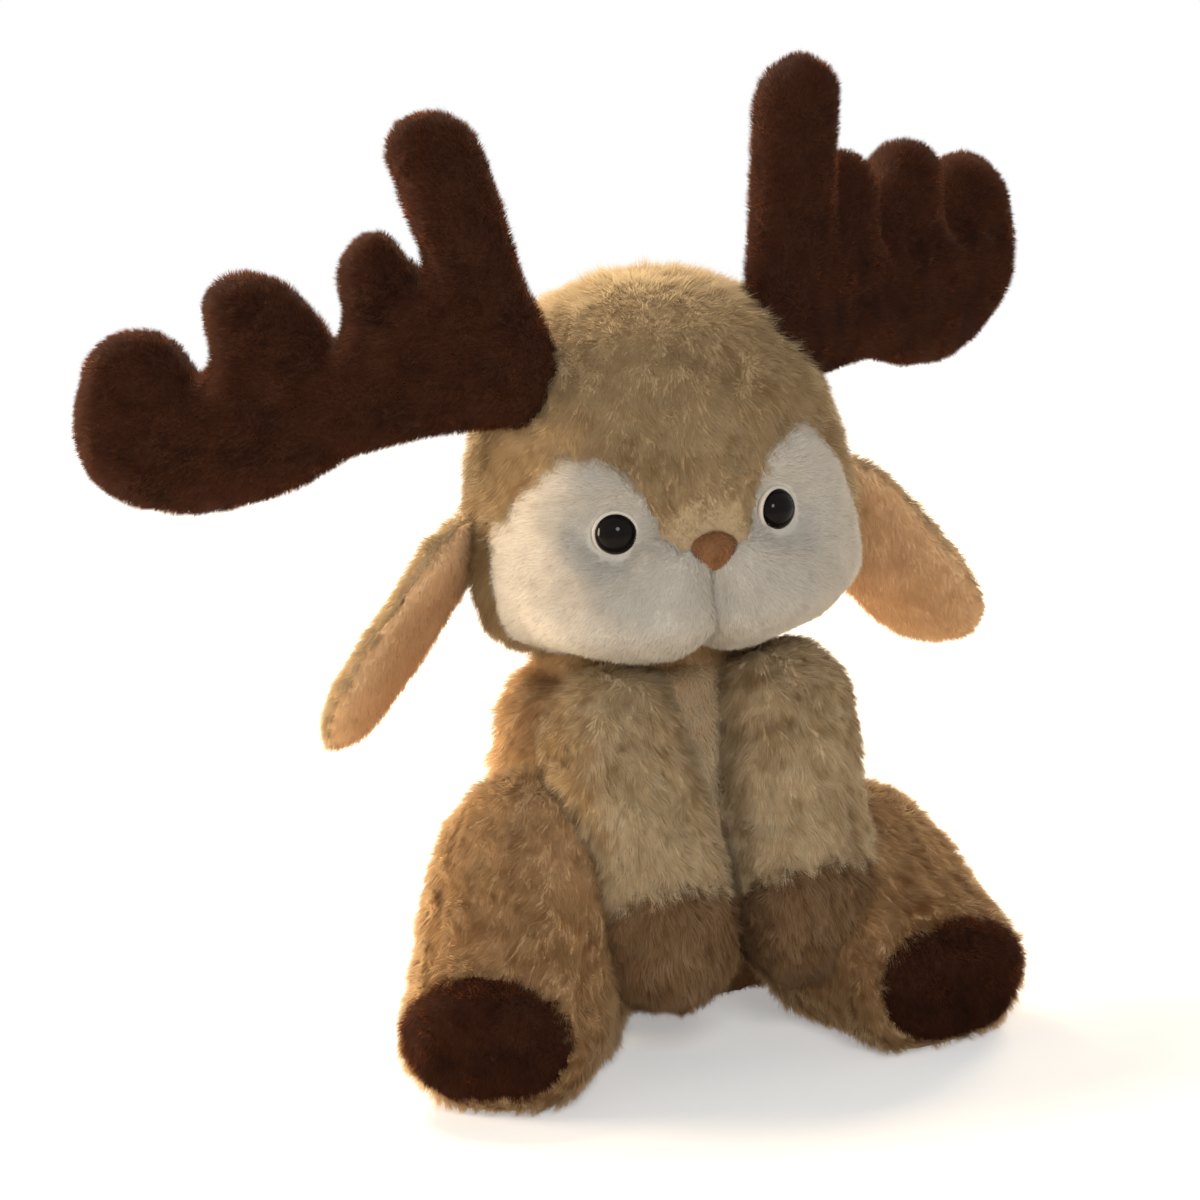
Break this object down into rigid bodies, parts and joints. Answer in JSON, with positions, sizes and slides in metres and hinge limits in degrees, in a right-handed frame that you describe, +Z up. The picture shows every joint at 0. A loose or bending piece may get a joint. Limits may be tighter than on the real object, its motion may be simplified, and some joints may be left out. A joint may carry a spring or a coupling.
{
  "type": "plush deer",
  "caption": "Seated stuffed deer with broad padded antlers, drooping ears, arms hanging in front and splayed legs.",
  "frame": {"origin": "on the floor at the middle of the torso's flat seat", "axes": "+Z up, -Y the way the deer looks, +X to the deer's left"},
  "size_m": [0.3223, 0.1709, 0.3055],
  "materials": {
    "tan_plush": "long soft tan pile",
    "cream_plush": "long soft cream pile",
    "white_plush": "short smooth white pile",
    "peach_plush": "short smooth peach pile",
    "brown_plush": "short dark brown pile",
    "paw_plush": "long soft brown pile",
    "nose_velvet": "brown velvet",
    "stuffing": "white polyester fibre",
    "eye_plastic": "polished black",
    "rim_plastic": "satin white"
  },
  "bodies": {
    "torso": {"torso_cover": "tan_plush", "chest_panel": "cream_plush", "torso_stuffing": "stuffing"},
    "neck": {"neck_stuffing": "stuffing"},
    "head": {"head_cover": "tan_plush", "cheek_left": "white_plush", "cheek_right": "white_plush", "head_stuffing": "stuffing", "nose": "nose_velvet", "eye_left": "eye_plastic", "eye_right": "eye_plastic", "eye_left_rim": "rim_plastic", "eye_right_rim": "rim_plastic", "eye_left_washer": "rim_plastic", "eye_right_washer": "rim_plastic"},
    "antler_left": {"antler_left_cover": "brown_plush", "antler_left_stuffing": "stuffing"},
    "antler_right": {"antler_right_cover": "brown_plush", "antler_right_stuffing": "stuffing"},
    "ear_left": {"ear_left_back": "tan_plush", "ear_left_lining": "peach_plush"},
    "ear_right": {"ear_right_back": "tan_plush", "ear_right_lining": "peach_plush"},
    "arm_left": {"arm_left_cover": "cream_plush", "arm_left_paw": "paw_plush", "arm_left_stuffing": "stuffing"},
    "arm_right": {"arm_right_cover": "cream_plush", "arm_right_paw": "paw_plush", "arm_right_stuffing": "stuffing"},
    "leg_left": {"leg_left_cover": "tan_plush", "leg_left_sole": "brown_plush", "leg_left_stuffing": "stuffing"},
    "leg_right": {"leg_right_cover": "tan_plush", "leg_right_sole": "brown_plush", "leg_right_stuffing": "stuffing"}
  },
  "joints": [
    {"name": "head_turn", "type": "hinge", "parent": "torso", "child": "neck", "pos_m": [0, -0.004, 0.124], "axis": [0, 0, 1], "range_deg": [-20, 20], "stiffness_Nm_per_rad": 0.5},
    {"name": "head_nod", "type": "hinge", "parent": "neck", "child": "head", "pos_m": [0, -0.004, 0.124], "axis": [-1, 0, 0], "range_deg": [-5, 10], "stiffness_Nm_per_rad": 2},
    {"name": "antler_left_sway", "type": "hinge", "parent": "head", "child": "antler_left", "pos_m": [0.047, -0.024, 0.221], "axis": [-0.6428, 0.766, 0], "range_deg": [-8, 8], "stiffness_Nm_per_rad": 1},
    {"name": "antler_right_sway", "type": "hinge", "parent": "head", "child": "antler_right", "pos_m": [-0.047, -0.024, 0.221], "axis": [-0.6428, -0.766, 0], "range_deg": [-8, 8], "stiffness_Nm_per_rad": 1},
    {"name": "ear_left_lift", "type": "hinge", "parent": "head", "child": "ear_left", "pos_m": [0.061, 0, 0.185], "axis": [0, -1, 0], "range_deg": [0, 45], "stiffness_Nm_per_rad": 0.01},
    {"name": "ear_right_lift", "type": "hinge", "parent": "head", "child": "ear_right", "pos_m": [-0.053, 0, 0.185], "axis": [0, 1, 0], "range_deg": [0, 45], "stiffness_Nm_per_rad": 0.01},
    {"name": "arm_left_swing", "type": "hinge", "parent": "torso", "child": "arm_left", "pos_m": [0.0235, -0.031, 0.1108], "axis": [-1, 0, 0], "range_deg": [0, 40], "stiffness_Nm_per_rad": 0.02},
    {"name": "arm_right_swing", "type": "hinge", "parent": "torso", "child": "arm_right", "pos_m": [-0.0235, -0.031, 0.1108], "axis": [-1, 0, 0], "range_deg": [0, 40], "stiffness_Nm_per_rad": 0.02},
    {"name": "leg_left_spread", "type": "hinge", "parent": "torso", "child": "leg_left", "pos_m": [0.059, 0.006, 0], "axis": [0, 0, 1], "range_deg": [0, 30], "stiffness_Nm_per_rad": 0.05},
    {"name": "leg_right_spread", "type": "hinge", "parent": "torso", "child": "leg_right", "pos_m": [-0.059, 0.006, 0], "axis": [0, 0, -1], "range_deg": [0, 30], "stiffness_Nm_per_rad": 0.05}
  ]
}
